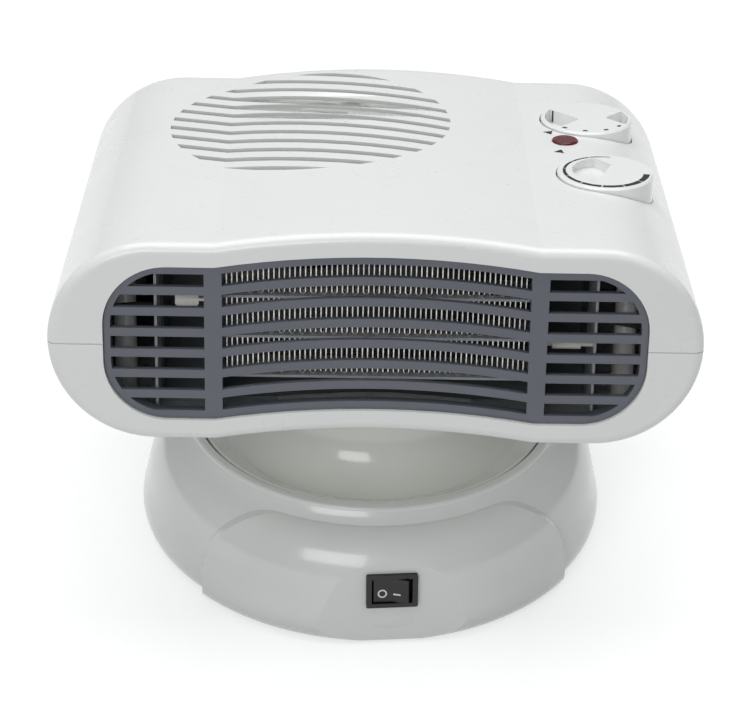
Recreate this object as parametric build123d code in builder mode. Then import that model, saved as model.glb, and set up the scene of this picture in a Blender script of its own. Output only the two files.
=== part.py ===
from build123d import *
from math import ceil, cos, degrees, radians, sin, sqrt, tan
import os

# A flat fan heater that swings from side to side on a round stand.
# The origin is on the table, under the middle of the whole heater.
# +X is to the right of someone who faces the grille, +Y is to the back and +Z is up.
# Lengths are in millimetres and angles in degrees.

# Clearances that the whole heater shares
running_gap = 0.05
fitting_gap = 0.3
seam_gap = 0.6
overrun = 5.0

# Pose: the head leans back on the stand, and the stand is turned a little under the head
head_tilt = 6.0
stand_turn = 5.0
sweep_each_way = 35.0

# Head casing: two round lobes with an arched middle between them.
# Names that end in _in give how far in from the head's side a place lies.
head_width = 249.4
head_height = 81.4
arch_rise = 5.2
head_front = 111.2
head_back = 94.0
head_wall = 2.2
front_round = 3.8
back_round = 16.0
head_shift = 8.0
head_centre_height = 130.4
groove_width = 0.5
groove_depth = 0.7
kink_in = 63.7

# Grille in the front of the head
opening_in = 21.4
opening_below = 8.85
opening_corner = 24.5
grille_recess = 1.6
grille_depth = 5.0
grille_edge = 2.8
grille_flange = 3.0
slot_rows = 7
slot_web = 3.4
slot_margin = 0.65
post_in = 63.1
post_width = 6.7
slat_depth = 2.2

# Air intake in the top of the head, over the fan
fan_clear = 27.7
fan_from_back = 76.2
intake_past_wheel = 12.3
intake_slots = 12
intake_pitch = 10.2
intake_slot_width = 4.0
intake_turn = -14.0

# Fan wheel
wheel_share = 0.3689
wheel_height = 31.0
wheel_disc = 1.6
wheel_gap = 2.0
wheel_hub_radius = 7.0
wheel_ring = 2.0
blade_count = 36
blade_depth = 8.0
blade_thickness = 0.9
blade_lean = 2.2
shaft_radius = 2.4

# Air guide: a spiral wall round the wheel that opens into the duct behind the heater
guide_floor = -5.0
guide_wall = 2.0
guide_start_past_wheel = 4.5
guide_end_past_wheel = 23.0
guide_start_angle = -20.0
guide_end_angle = 180.0
guide_points = 11
guide_ear_radius = 6.0
guide_ear_reach = 4.2
guide_post_radius = 4.2
guide_ear_angles = (30.0, 105.0, 180.0)
duct_slope_start = -27.0

# Motor under the air guide
stack_height = 14.0
stack_half_width = 24.0
stack_front = 21.0
limb_length = 15.0
limb_width = 8.0
rotor_radius = 13.0
rotor_air_gap = 0.5
bracket_height = 4.0
bracket_strip = 2.0
bracket_width = 13.0
bush_radius = 4.5
bush_height = 3.5
coil_width = 28.0
coil_depth = 19.0
coil_height = 22.0
motor_screw_x = 19.0
motor_screw_radius = 1.9

# Heater behind the grille: a board frame that holds three folded ribbons
heater_behind_front = 10.5
heater_depth = 18.0
heater_in = 40.7
heater_below = 5.2
board = 1.0
ribbon_in = 62.2
ribbon_below = 3.1
ribbon_rows = 3
ribbon_row_pitch = 16.6
ribbon_thickness = 0.45
ribbon_width = 4.0
fold_pitch = 2.0

# Thermal cut-out and fuse beside the ribbons
cutout_length = 9.0
cutout_height = 5.0
cutout_depth = 7.0
cutout_z = 14.0
fuse_radius = 2.0
fuse_length = 11.0
fuse_z = -3.5

# Knobs on the right shoulder, the thermostat in front and the selector behind
knob_radius = 19.3
knob_height = 12.0
knob_proud = 1.4
knob_edge = 0.7
thermostat_in = 33.3
thermostat_y = -31.0
selector_in = 36.0
selector_y = 32.5
thermostat_turn = -40.0
thermostat_scoop_radius = 14.2
thermostat_scoop_shift = 1.5
thermostat_scoop_edge = 7.8
thermostat_scoop_wave = 1.0
thermostat_scoop_depth = 4.5
selector_scoop_radius = 17.6
selector_scoop_tips = (2.8, 7.8)
selector_scoop_shifts = (-2.3, 0.5)
selector_scoop_round = 2.0
selector_scoop_depth = 5.5
well_wall = 1.8
spindle_radius = 3.0
spindle_seat = 6.0
control_width = 24.0
control_length = 22.0
control_height = 15.0

# Pilot lamp between the knobs
lamp_in = 46.8
lamp_y = 7.2
lamp_radius = 5.5
lamp_proud = 0.9
lamp_wall = 0.9
lamp_depth = 11.0
lamp_holder = 2.4
bulb_radius = 2.6
bulb_height = 8.5

# Screws and their bosses
boss_radius = 4.4
screw_radius = 1.45
screw_head_radius = 2.9
screw_head = 1.8
screw_well_radius = 3.4
housing_screw_in = 26.7
housing_screw_from_front = 35.2
housing_screw_from_back = 20.0
housing_screw_seat = -14.0
housing_screw_bite = 12.0

# Stand: the domed base
foot_height = 1.5
foot_radius = 7.0
foot_place = 80.0
base_bottom_radius = 96.5
base_wide_radius = 99.4
base_wide_height = 6.0
dome_low = (98.0, 18.5)
dome_middle = (95.0, 31.5)
dome_high = (89.3, 41.5)
dome_neck = (83.2, 46.6)
lip_radius = 79.8
lip_height = 52.2
lip_round = 1.4
base_wall = 2.5
dish_radius = 76.2
dish_floor = 41.0
dish_thickness = 2.5

# Raised panel on the front of the base, with the switch
pod_forward = 4.4
pod_top_radius = 80.5
pod_top_height = 46.4
pod_half_width = 76.0
pod_corner = 33.0
panel_y = 99.7
panel_lean = 5.5
switch_height = 25.2

# Turntable under the head
turntable_gap = 1.4
turntable_bottom = 42.5
rim_height = 51.5
rim_round = 0.9
valley_radius = 64.0
valley_height = 46.0
neck_radius = 42.0
flare_height = 76.0
neck_wall = 3.0
hub_radius = 18.0
hub_bottom = 33.0
cable_radius = 3.2
neck_screw_ring = 34.5
neck_screw_angles = (45.0, -45.0, -135.0)
neck_boss_radius = 5.0
neck_boss_length = 20.0
neck_pad_rise = 14.2
neck_screw_radius = 1.9

# Drive of the turntable: a reversing motor with a small gear on a toothed sector
gear_module = 1.4
sector_teeth = 50
pinion_teeth = 10
gear_height = 4.0
sector_half_angle = 47.0
sector_hub_radius = 24.0
drive_angle = 135.0
drive_motor_radius = 25.0
drive_motor_height = 18.0
drive_motor_top = 27.0
drive_ear_reach = 29.0
drive_ear_radius = 5.0
drive_ear_height = 2.0
drive_shaft_radius = 2.0
drive_shaft_seat = 6.0
stop_radius = 2.5
sector_screw_ring = 12.0
sector_screw_length = 12.0
base_screw_ring = 70.0
base_screw_turn = 20.0
base_screw_length = 16.0
base_post_radius = 4.5
collar_width = 4.0

# Rocker switch of the swing drive
bezel_width = 21.0
bezel_height = 15.0
bezel_proud = 1.8
bezel_round = 0.8
switch_body_width = 19.0
switch_body_height = 13.0
switch_body_depth = 13.0
switch_wall = 1.1
rocker_width = 15.4
rocker_height = 10.6
rocker_depth = 6.0
rocker_face = 2.0
rocker_back = 1.6
rocker_travel = 18.0
rocker_pin_radius = 1.0
tab_width = 4.8
tab_thickness = 0.8
tab_length = 7.0

# Parts on the floor of the stand
base_plate_thickness = 2.5
terminal_width = 26.0
terminal_depth = 17.0
terminal_height = 8.0
cord_bush_height = 14.0
cord_bush_radius = 6.0
cord_bush_flange = 8.0
cord_bush_length = 12.0
cord_bush_proud = 4.0
cord_bore = 3.4

# Leads inside the head
lead_radius = 1.3
lead_in = 14.7
lead_rise = 15.2
lead_arc_share = 0.45

# Places that follow from these sizes
tilt = radians(head_tilt)
lobe_x = head_width / 2 - head_height / 2
half_width = head_width / 2
half_height = head_height / 2
kink_x = half_width - kink_in
opening_width = 2 * (half_width - opening_in)
opening_height = 2 * (half_height - opening_below)
slot_row_pitch = (opening_height - 2 * grille_edge - 2 * slot_margin + slot_web) / slot_rows
slot_row_height = slot_row_pitch - slot_web
post_x = half_width - post_in
wheel_radius = wheel_share * half_width
guide_start_radius = wheel_radius + guide_start_past_wheel
guide_end_radius = wheel_radius + guide_end_past_wheel
intake_radius = wheel_radius + intake_past_wheel
fan_x = guide_end_radius + fan_clear - half_width
fan_y = head_back - fan_from_back
heater_front = heater_behind_front - head_front
heater_half_width = half_width - heater_in
heater_half_height = half_height - heater_below
ribbon_end_x = half_width - ribbon_in
ribbon_top = heater_half_height - ribbon_below
fold_count = 2 * round((ribbon_end_x - fold_pitch) / fold_pitch)
knob_top = half_height + knob_proud
thermostat_x = half_width - thermostat_in
selector_x = half_width - selector_in
lamp_x = half_width - lamp_in
housing_screw_x = half_width - housing_screw_in
neck_pad_top = neck_pad_rise - half_height
front_reach = (
    head_shift
    - (head_front - front_round) * cos(tilt)
    - (half_height - front_round) * sin(tilt)
    - front_round
)
back_reach = (
    head_shift
    + (head_back - back_round) * cos(tilt)
    + (half_height + arch_rise - back_round) * sin(tilt)
    + back_round
)
axis_y = -(front_reach + back_reach) / 2
head = Plane(
    origin=(0, axis_y + head_shift, head_centre_height),
    x_dir=(1, 0, 0),
    z_dir=(0, sin(tilt), cos(tilt)),
)
stand = Plane(
    origin=(0, axis_y, 0),
    x_dir=(cos(radians(stand_turn)), sin(radians(stand_turn)), 0),
    z_dir=(0, 0, 1),
)
guide_top = half_height + arch_rise
wheel_bottom = guide_floor + guide_wall + wheel_gap
heater_back = heater_front + heater_depth
well_radius = knob_radius + seam_gap
well_floor = knob_top - knob_height - fitting_gap
control_top = well_floor - well_wall
turntable_radius = dish_radius - turntable_gap
hub_hole = hub_radius + running_gap + fitting_gap / 10


def level(plane, x, y, z):
    """A plane that lies flat on the head or the stand, at a place given in its own lengths."""
    return Plane(origin=plane.from_local_coords((x, y, z)), x_dir=plane.x_dir, z_dir=plane.z_dir)


def facing(plane, x, y, z):
    """An upright plane that faces the front, with its own x to the right and y up."""
    return Plane(origin=plane.from_local_coords((x, y, z)), x_dir=plane.x_dir, z_dir=-plane.y_dir)


def sideways(plane, x, y, z):
    """An upright plane that faces the right, with its own x to the back and y up."""
    return Plane(origin=plane.from_local_coords((x, y, z)), x_dir=plane.y_dir, z_dir=plane.x_dir)


def around(radius, angle):
    """The point at this radius and angle in a plane."""
    return (radius * cos(radians(angle)), radius * sin(radians(angle)))


def finish(builder, name):
    """Name a piece and write it."""
    builder.part.label = name
    export_step(builder.part, f"parts/{name}.step")


os.makedirs("parts", exist_ok=True)


# Head casing

def head_block(inset):
    """The head as one solid, drawn in from its outside by the inset."""
    high = half_height - inset
    wide = head_width / 2 - inset
    with BuildPart() as block:
        with BuildSketch(Plane.XZ.offset(head_front - inset)):
            with BuildLine():
                Line((-lobe_x, high), (-kink_x, high))
                ThreePointArc((-kink_x, high), (0, high + arch_rise), (kink_x, high))
                Line((kink_x, high), (lobe_x, high))
                ThreePointArc((lobe_x, high), (wide, 0), (lobe_x, -high))
                Line((lobe_x, -high), (kink_x, -high))
                ThreePointArc((kink_x, -high), (0, -high + arch_rise), (-kink_x, -high))
                Line((-kink_x, -high), (-lobe_x, -high))
                ThreePointArc((-lobe_x, -high), (-wide, 0), (-lobe_x, high))
            make_face()
        extrude(amount=-(head_front + head_back - 2 * inset))
        fillet(block.faces().sort_by(Axis.Y)[-1].edges(), back_round - inset)
        fillet(block.faces().sort_by(Axis.Y)[0].edges(), front_round - inset)
    return block.part.moved(head.location)


def opening_face(inset):
    """Front view of the grille's opening, drawn in from its edge by the inset."""
    wide = opening_width / 2 - inset
    high = opening_height / 2 - inset
    corner = opening_corner - inset
    bend = corner * (1 - sqrt(1 / 2))
    with BuildSketch() as sketch:
        with BuildLine():
            Line((corner - wide, high), (-kink_x, high))
            ThreePointArc((-kink_x, high), (0, high + arch_rise), (kink_x, high))
            Line((kink_x, high), (wide - corner, high))
            ThreePointArc((wide - corner, high), (wide - bend, high - bend), (wide, high - corner))
            Line((wide, high - corner), (wide, corner - high))
            ThreePointArc((wide, corner - high), (wide - bend, bend - high), (wide - corner, -high))
            Line((wide - corner, -high), (kink_x, -high))
            ThreePointArc((kink_x, -high), (0, arch_rise - high), (-kink_x, -high))
            Line((-kink_x, -high), (corner - wide, -high))
            ThreePointArc((corner - wide, -high), (bend - wide, bend - high), (-wide, corner - high))
            Line((-wide, corner - high), (-wide, high - corner))
            ThreePointArc((-wide, high - corner), (bend - wide, high - bend), (corner - wide, high))
        make_face()
    return sketch.sketch


outer_block = head_block(0)
inner_block = head_block(head_wall)
guide_block = head_block(head_wall + fitting_gap)
knob_places = [(thermostat_x, thermostat_y), (selector_x, selector_y)]
housing_screw_places = [
    (side * housing_screw_x, y)
    for side in (-1, 1)
    for y in (housing_screw_from_front - head_front, head_back - housing_screw_from_back)
]
neck_centre_y = -head_shift * cos(tilt) + half_height * sin(tilt)
neck_screw_places = [
    (x, y + neck_centre_y) for x, y in (around(neck_screw_ring, a) for a in neck_screw_angles)
]


def guide_radius(angle):
    """Radius of the spiral wall round the wheel, at an angle about the wheel's axis."""
    share = (angle - guide_start_angle) / (guide_end_angle - guide_start_angle)
    return guide_start_radius + (guide_end_radius - guide_start_radius) * share


guide_ear_places = [
    (fan_x + x, fan_y + y)
    for x, y in (around(guide_radius(a) + guide_ear_reach, a) for a in guide_ear_angles)
]

with BuildPart() as well_cups:
    with BuildSketch(level(head, 0, 0, control_top)):
        with Locations(*knob_places):
            Circle(well_radius + well_wall)
    extrude(amount=half_height)
    add(outer_block, mode=Mode.INTERSECT)

with BuildPart() as upper_bosses:
    with BuildSketch(level(head, 0, 0, 0)):
        with Locations(*housing_screw_places):
            Circle(boss_radius)
    extrude(amount=half_height)
    add(outer_block, mode=Mode.INTERSECT)

with BuildPart() as upper_housing:
    add(outer_block)
    add(inner_block, mode=Mode.SUBTRACT)
    add(well_cups.part)
    add(upper_bosses.part)
    split(bisect_by=level(head, 0, 0, 0), keep=Keep.TOP)
    with BuildSketch(facing(head, 0, -head_front - overrun, 0)):
        add(opening_face(0))
    extrude(amount=-(overrun + front_round + overrun), mode=Mode.SUBTRACT)
    with BuildSketch(level(head, 0, 0, well_floor)):
        with Locations(*knob_places):
            Circle(well_radius)
    extrude(amount=half_height, mode=Mode.SUBTRACT)
    with BuildSketch(level(head, 0, 0, control_top - overrun)):
        with Locations(*knob_places):
            Circle(spindle_radius + fitting_gap)
    extrude(amount=half_height, mode=Mode.SUBTRACT)
    with BuildSketch(level(head, 0, 0, half_height - head_wall - overrun)):
        with Locations((lamp_x, lamp_y)):
            Circle(lamp_radius + running_gap)
    extrude(amount=half_height, mode=Mode.SUBTRACT)
    intake_plane = level(head, fan_x, fan_y, half_height - head_wall - overrun)
    with BuildSketch(intake_plane.rotated((0, 0, intake_turn))):
        for row in range(intake_slots):
            with Locations((0, (row - (intake_slots - 1) / 2) * intake_pitch)):
                Rectangle(2 * intake_radius, intake_slot_width)
        Circle(intake_radius, mode=Mode.INTERSECT)
    extrude(amount=half_height, mode=Mode.SUBTRACT)
    with BuildSketch(level(head, 0, 0, 0)):
        with Locations(*housing_screw_places):
            Circle(screw_radius + running_gap)
    extrude(amount=housing_screw_bite + head_wall, mode=Mode.SUBTRACT)
finish(upper_housing, "upper_housing")

with BuildPart() as lower_bosses:
    with BuildSketch(level(head, 0, 0, 0)):
        with Locations(*housing_screw_places):
            Circle(boss_radius)
    extrude(amount=-head_height)
    with BuildSketch(level(head, 0, 0, guide_floor)):
        with Locations(*guide_ear_places):
            Circle(guide_post_radius)
    extrude(amount=-head_height)
    with BuildSketch(level(head, 0, 0, neck_pad_top)):
        with Locations(*neck_screw_places):
            Circle(neck_boss_radius)
    extrude(amount=-head_height)
    add(outer_block, mode=Mode.INTERSECT)

with BuildPart() as seam_groove:
    with BuildSketch(level(head, 0, 0, 0)):
        Rectangle(2 * head_width, 2 * head_width)
    extrude(amount=-groove_width)
    add(head_block(groove_depth), mode=Mode.SUBTRACT)

with BuildPart() as lower_housing:
    add(outer_block)
    add(inner_block, mode=Mode.SUBTRACT)
    add(lower_bosses.part)
    split(bisect_by=level(head, 0, 0, 0), keep=Keep.BOTTOM)
    with BuildSketch(facing(head, 0, -head_front - overrun, 0)):
        add(opening_face(0))
    extrude(amount=-(overrun + front_round + overrun), mode=Mode.SUBTRACT)
    add(seam_groove.part, mode=Mode.SUBTRACT)
    with BuildSketch(level(head, 0, 0, 0)):
        with Locations(*housing_screw_places):
            Circle(screw_radius + fitting_gap)
    extrude(amount=-head_height, mode=Mode.SUBTRACT)
    with BuildSketch(level(head, 0, 0, housing_screw_seat)):
        with Locations(*housing_screw_places):
            Circle(screw_well_radius)
    extrude(amount=-head_height, mode=Mode.SUBTRACT)
    with BuildSketch(level(head, 0, 0, guide_floor)):
        with Locations(*guide_ear_places):
            Circle(screw_radius + running_gap)
    extrude(amount=-housing_screw_bite, mode=Mode.SUBTRACT)
    with BuildSketch(level(head, 0, 0, 0)):
        with Locations(*neck_screw_places):
            Circle(neck_screw_radius + fitting_gap)
    extrude(amount=-head_height, mode=Mode.SUBTRACT)
    with BuildSketch(level(stand, 0, 0, hub_bottom)):
        Circle(cable_radius + fitting_gap)
    extrude(amount=head_centre_height - hub_bottom, mode=Mode.SUBTRACT)
finish(lower_housing, "lower_housing")

with BuildPart() as housing_screws:
    with BuildSketch(level(head, 0, 0, housing_screw_seat)):
        with Locations(*housing_screw_places):
            Circle(screw_head_radius)
    extrude(amount=-screw_head)
    with BuildSketch(level(head, 0, 0, housing_screw_seat)):
        with Locations(*housing_screw_places):
            Circle(screw_radius)
    extrude(amount=housing_screw_bite - housing_screw_seat)
finish(housing_screws, "housing_screws")


# Grille

def arched_slot(z):
    """Front view of one slot in the arched middle, at this height beside the arch."""
    reach = post_x - post_width / 2
    foot = arch_rise * (1 - (reach / kink_x) ** 2)
    low = z - slot_row_height / 2
    high = z + slot_row_height / 2
    with BuildSketch() as sketch:
        with BuildLine():
            ThreePointArc((-reach, high + foot), (0, high + arch_rise), (reach, high + foot))
            Line((reach, high + foot), (reach, low + foot))
            ThreePointArc((reach, low + foot), (0, low + arch_rise), (-reach, low + foot))
            Line((-reach, low + foot), (-reach, high + foot))
        make_face()
    return sketch.sketch


slot_heights = [(row - (slot_rows - 1) / 2) * slot_row_pitch for row in range(slot_rows)]
side_slot_start = post_x + post_width / 2
side_slot_width = opening_width / 2 - side_slot_start
with BuildSketch() as side_slots:
    for side in (-1, 1):
        for z in slot_heights:
            with Locations((side * (side_slot_start + side_slot_width / 2), z)):
                Rectangle(side_slot_width, slot_row_height)
    add(opening_face(grille_edge), mode=Mode.INTERSECT)

grille_face_y = -head_front + grille_recess
flange_y = -head_front + head_wall + fitting_gap
with BuildPart() as front_grille:
    with BuildSketch(facing(head, 0, grille_face_y, 0)):
        add(opening_face(fitting_gap))
    extrude(amount=-grille_depth)
    with BuildSketch(facing(head, 0, flange_y, 0)):
        add(opening_face(-grille_flange))
    extrude(amount=-(grille_face_y + grille_depth - flange_y))
    with BuildSketch(facing(head, 0, grille_face_y - overrun, 0)):
        add(side_slots.sketch)
        for z in slot_heights:
            add(arched_slot(z))
    extrude(amount=-(grille_depth + 2 * overrun), mode=Mode.SUBTRACT)
    with BuildSketch(facing(head, 0, grille_face_y + slat_depth, 0)):
        add(opening_face(grille_edge))
        for side in (-1, 1):
            with Locations((side * post_x, 0)):
                Rectangle(post_width, head_height, mode=Mode.SUBTRACT)
    extrude(amount=-grille_depth, mode=Mode.SUBTRACT)
finish(front_grille, "front_grille")


# Heater

ribbon_leg = ribbon_row_pitch - board - fold_pitch - 2 * fitting_gap


def ribbon_level(row):
    """Height of the board over a row of ribbon."""
    return ribbon_top - row * ribbon_row_pitch


with BuildPart() as heater_frame:
    with BuildSketch(facing(head, 0, heater_front, 0)):
        for side in (-1, 1):
            with Locations((side * heater_half_width, 0), (side * ribbon_end_x, 0)):
                Rectangle(board, 2 * heater_half_height)
            with Locations((0, side * heater_half_height)):
                Rectangle(2 * heater_half_width + board, board)
        for row in range(ribbon_rows + 1):
            with Locations((0, ribbon_level(row))):
                Rectangle(2 * ribbon_end_x, board)
    extrude(amount=-heater_depth)
    add(guide_block, mode=Mode.INTERSECT)
finish(heater_frame, "heater_frame")

with BuildSketch() as crest:
    Circle((fold_pitch + ribbon_thickness) / 2)
    Circle((fold_pitch - ribbon_thickness) / 2, mode=Mode.SUBTRACT)
    with Locations((0, -fold_pitch)):
        Rectangle(2 * fold_pitch, 2 * fold_pitch, mode=Mode.SUBTRACT)

ribbon_names = ["upper_ribbon", "middle_ribbon", "lower_ribbon"]
for row in range(ribbon_rows):
    row_middle = ribbon_level(row) - ribbon_row_pitch / 2
    with BuildPart() as ribbon:
        with BuildSketch(facing(head, 0, heater_front + ribbon_width / 2, row_middle)):
            with GridLocations(fold_pitch, 0, fold_count, 1):
                Rectangle(ribbon_thickness, ribbon_leg)
            for fold in range(fold_count - 1):
                fold_x = (fold - (fold_count - 2) / 2) * fold_pitch
                up = 1 if fold % 2 == 0 else -1
                add(crest.sketch.rotate(Axis.Z, 90 - 90 * up).moved(Pos(fold_x, up * ribbon_leg / 2)))
        extrude(amount=-ribbon_width)
    finish(ribbon, ribbon_names[row])

with BuildPart() as thermal_cutout:
    with BuildSketch(facing(head, -ribbon_end_x - board / 2, heater_front + fitting_gap, cutout_z)):
        with Locations((-cutout_length, 0)):
            RectangleRounded(cutout_length, cutout_height, cutout_height / 5)
        with Locations((-cutout_length / 4, 0)):
            Rectangle(cutout_length / 2, board)
    extrude(amount=-cutout_depth)
finish(thermal_cutout, "thermal_cutout")

with BuildPart() as thermal_fuse:
    with BuildSketch(sideways(head, ribbon_end_x + board / 2, heater_front + cutout_depth / 2, fuse_z)):
        Circle(fuse_radius / 2)
    extrude(amount=heater_half_width - ribbon_end_x - board)
    with BuildSketch(
        sideways(
            head,
            (heater_half_width + ribbon_end_x - fuse_length) / 2,
            heater_front + cutout_depth / 2,
            fuse_z,
        )
    ):
        Circle(fuse_radius)
    extrude(amount=fuse_length)
finish(thermal_fuse, "thermal_fuse")


# Air guide and duct

spiral_angles = [
    guide_start_angle + (guide_end_angle - guide_start_angle) * step / (guide_points - 1)
    for step in range(guide_points)
]
duct_half_width = heater_half_width + board / 2
duct_front = heater_back + fitting_gap
duct_bottom = -heater_half_height + guide_wall
duct_corner_y = (duct_front + thermostat_y) / 2


def guide_plan(inset):
    """Plan of the spiral and the duct, drawn in from the outside of their walls by the inset."""
    spiral = [
        (fan_x + x, fan_y + y)
        for x, y in (around(guide_radius(a) - inset, a) for a in spiral_angles)
    ]
    wide = duct_half_width - inset
    with BuildSketch() as plan:
        with BuildLine():
            Spline(*spiral)
            Polyline(
                spiral[-1],
                (-wide, duct_slope_start),
                (-wide, duct_front - overrun),
                (wide, duct_front - overrun),
                (wide, duct_corner_y),
                spiral[0],
            )
        make_face()
    return plan.sketch


with BuildPart() as guide_walls:
    with BuildSketch(level(head, 0, 0, -half_height)):
        add(guide_plan(0))
        add(guide_plan(guide_wall), mode=Mode.SUBTRACT)
    extrude(amount=2 * half_height + arch_rise)
    with BuildSketch(sideways(head, -head_width / 2, 0, 0)):
        with BuildLine():
            Polyline(
                (head_back, guide_floor),
                (duct_slope_start, guide_floor),
                (duct_front, duct_bottom - guide_wall),
                (duct_front, guide_top),
                (head_back, guide_top),
                close=True,
            )
        make_face()
    extrude(amount=head_width, mode=Mode.INTERSECT)

with BuildPart() as guide_base:
    with BuildSketch(level(head, 0, 0, -half_height)):
        add(guide_plan(0))
    extrude(amount=2 * half_height)
    with BuildSketch(sideways(head, -head_width / 2, 0, 0)):
        with BuildLine():
            Polyline(
                (head_back, guide_floor),
                (duct_slope_start, guide_floor),
                (duct_front, duct_bottom - guide_wall),
                (duct_front, duct_bottom),
                (duct_slope_start, guide_floor + guide_wall),
                (head_back, guide_floor + guide_wall),
                close=True,
            )
        make_face()
    extrude(amount=head_width, mode=Mode.INTERSECT)

motor_screw_places = [(fan_x - motor_screw_x, fan_y), (fan_x + motor_screw_x, fan_y)]
with BuildPart() as air_guide:
    add(guide_base.part)
    add(guide_walls.part)
    with BuildSketch(level(head, 0, 0, guide_floor)):
        with Locations(*guide_ear_places):
            Circle(guide_ear_radius)
    extrude(amount=guide_wall)
    add(guide_block, mode=Mode.INTERSECT)
    with BuildSketch(level(head, 0, 0, guide_floor - overrun)):
        with Locations(*guide_ear_places):
            Circle(screw_radius + fitting_gap)
        with Locations((fan_x, fan_y)):
            Circle(bush_radius + fitting_gap)
        with Locations(*motor_screw_places):
            Circle(motor_screw_radius + running_gap)
    extrude(amount=2 * overrun, mode=Mode.SUBTRACT)
finish(air_guide, "air_guide")

with BuildPart() as air_guide_screws:
    with BuildSketch(level(head, 0, 0, guide_floor + guide_wall)):
        with Locations(*guide_ear_places):
            Circle(screw_head_radius)
    extrude(amount=screw_head)
    with BuildSketch(level(head, 0, 0, guide_floor + guide_wall)):
        with Locations(*guide_ear_places):
            Circle(screw_radius)
    extrude(amount=-(housing_screw_bite - screw_head))
finish(air_guide_screws, "air_guide_screws")


# Fan wheel

with BuildSketch() as blade:
    with BuildLine():
        inner_x = wheel_radius - blade_depth
        middle_x = wheel_radius - blade_depth / 2
        ThreePointArc((inner_x, 0), (middle_x, blade_lean), (wheel_radius, 0))
        Line((wheel_radius, 0), (wheel_radius, blade_thickness))
        ThreePointArc(
            (wheel_radius, blade_thickness),
            (middle_x, blade_lean + blade_thickness),
            (inner_x, blade_thickness),
        )
        Line((inner_x, blade_thickness), (inner_x, 0))
    make_face()

with BuildPart() as fan_wheel:
    with BuildSketch(level(head, fan_x, fan_y, wheel_bottom)):
        Circle(wheel_radius)
    extrude(amount=wheel_disc)
    with BuildSketch(level(head, fan_x, fan_y, wheel_bottom)):
        Circle(wheel_hub_radius)
    extrude(amount=wheel_height / 2)
    with BuildSketch(level(head, fan_x, fan_y, wheel_bottom + wheel_disc)):
        with PolarLocations(0, blade_count):
            add(blade.sketch)
    extrude(amount=wheel_height - wheel_disc)
    with BuildSketch(level(head, fan_x, fan_y, wheel_bottom + wheel_height - wheel_ring)):
        Circle(wheel_radius + wheel_disc / 2)
        Circle(wheel_radius - wheel_disc, mode=Mode.SUBTRACT)
    extrude(amount=wheel_ring)
    with BuildSketch(level(head, fan_x, fan_y, wheel_bottom)):
        Circle(shaft_radius + running_gap)
    extrude(amount=wheel_height, mode=Mode.SUBTRACT)
finish(fan_wheel, "fan_wheel")

stack_top = guide_floor - bracket_height
stack_bottom = stack_top - stack_height
shaft_bottom = stack_bottom - bracket_height
with BuildPart() as motor_rotor:
    with BuildSketch(level(head, fan_x, fan_y, stack_bottom)):
        Circle(rotor_radius)
    extrude(amount=stack_height)
    with BuildSketch(level(head, fan_x, fan_y, shaft_bottom)):
        Circle(shaft_radius)
    extrude(amount=wheel_bottom + wheel_height / 2 + wheel_ring - shaft_bottom)
finish(motor_rotor, "motor_rotor")

with BuildPart() as shaft_clip:
    with BuildSketch(level(head, fan_x, fan_y, wheel_bottom + wheel_height / 2)):
        Circle(2 * shaft_radius)
        Circle(shaft_radius + running_gap, mode=Mode.SUBTRACT)
    extrude(amount=wheel_ring / 2)
finish(shaft_clip, "shaft_clip")


# Motor

limb_back = stack_front + limb_length
with BuildPart() as motor_stack:
    with BuildSketch(level(head, fan_x, fan_y, stack_bottom)):
        with BuildLine():
            Polyline(
                (-stack_half_width, -stack_front),
                (stack_half_width, -stack_front),
                (stack_half_width, limb_back + limb_width),
                (-stack_half_width, limb_back + limb_width),
                close=True,
            )
        make_face()
        with Locations((0, stack_front + limb_length / 2)):
            Rectangle(2 * (stack_half_width - limb_width), limb_length, mode=Mode.SUBTRACT)
        Circle(rotor_radius + rotor_air_gap, mode=Mode.SUBTRACT)
        with Locations((-motor_screw_x, 0), (motor_screw_x, 0)):
            Circle(motor_screw_radius + fitting_gap, mode=Mode.SUBTRACT)
    extrude(amount=stack_height)
finish(motor_stack, "motor_stack")

with BuildPart() as motor_coil:
    coil_plane = sideways(
        head, fan_x - coil_width / 2, fan_y + limb_back + limb_width / 2, stack_bottom + stack_height / 2
    )
    with BuildSketch(coil_plane):
        RectangleRounded(coil_depth, coil_height, limb_width / 2)
        Rectangle(
            limb_width + 2 * fitting_gap, stack_height + 2 * fitting_gap, mode=Mode.SUBTRACT
        )
    extrude(amount=coil_width)
finish(motor_coil, "motor_coil")


def motor_bracket(seat, upward):
    """A strip that bridges the rotor on one side of the stack, with a round seat for the bush."""
    foot = bracket_height - bracket_strip
    with BuildPart() as bracket:
        with BuildSketch(level(head, fan_x, fan_y, seat)):
            with Locations((-motor_screw_x, 0), (motor_screw_x, 0)):
                Rectangle(limb_width, bracket_width)
        extrude(amount=upward * foot)
        with BuildSketch(level(head, fan_x, fan_y, seat + upward * foot)):
            Rectangle(2 * motor_screw_x + limb_width, bracket_width)
        extrude(amount=upward * bracket_strip)
        with BuildSketch(level(head, fan_x, fan_y, seat + upward * (bracket_height - bush_height))):
            Circle(bracket_width / 2)
        extrude(amount=upward * bush_height)
        with BuildSketch(level(head, fan_x, fan_y, seat)):
            Circle(bush_radius + running_gap)
            with Locations((-motor_screw_x, 0), (motor_screw_x, 0)):
                Circle(motor_screw_radius + fitting_gap)
        extrude(amount=upward * bracket_height, mode=Mode.SUBTRACT)
    return bracket


finish(motor_bracket(stack_top, 1), "upper_motor_bracket")
finish(motor_bracket(stack_bottom, -1), "lower_motor_bracket")

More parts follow.
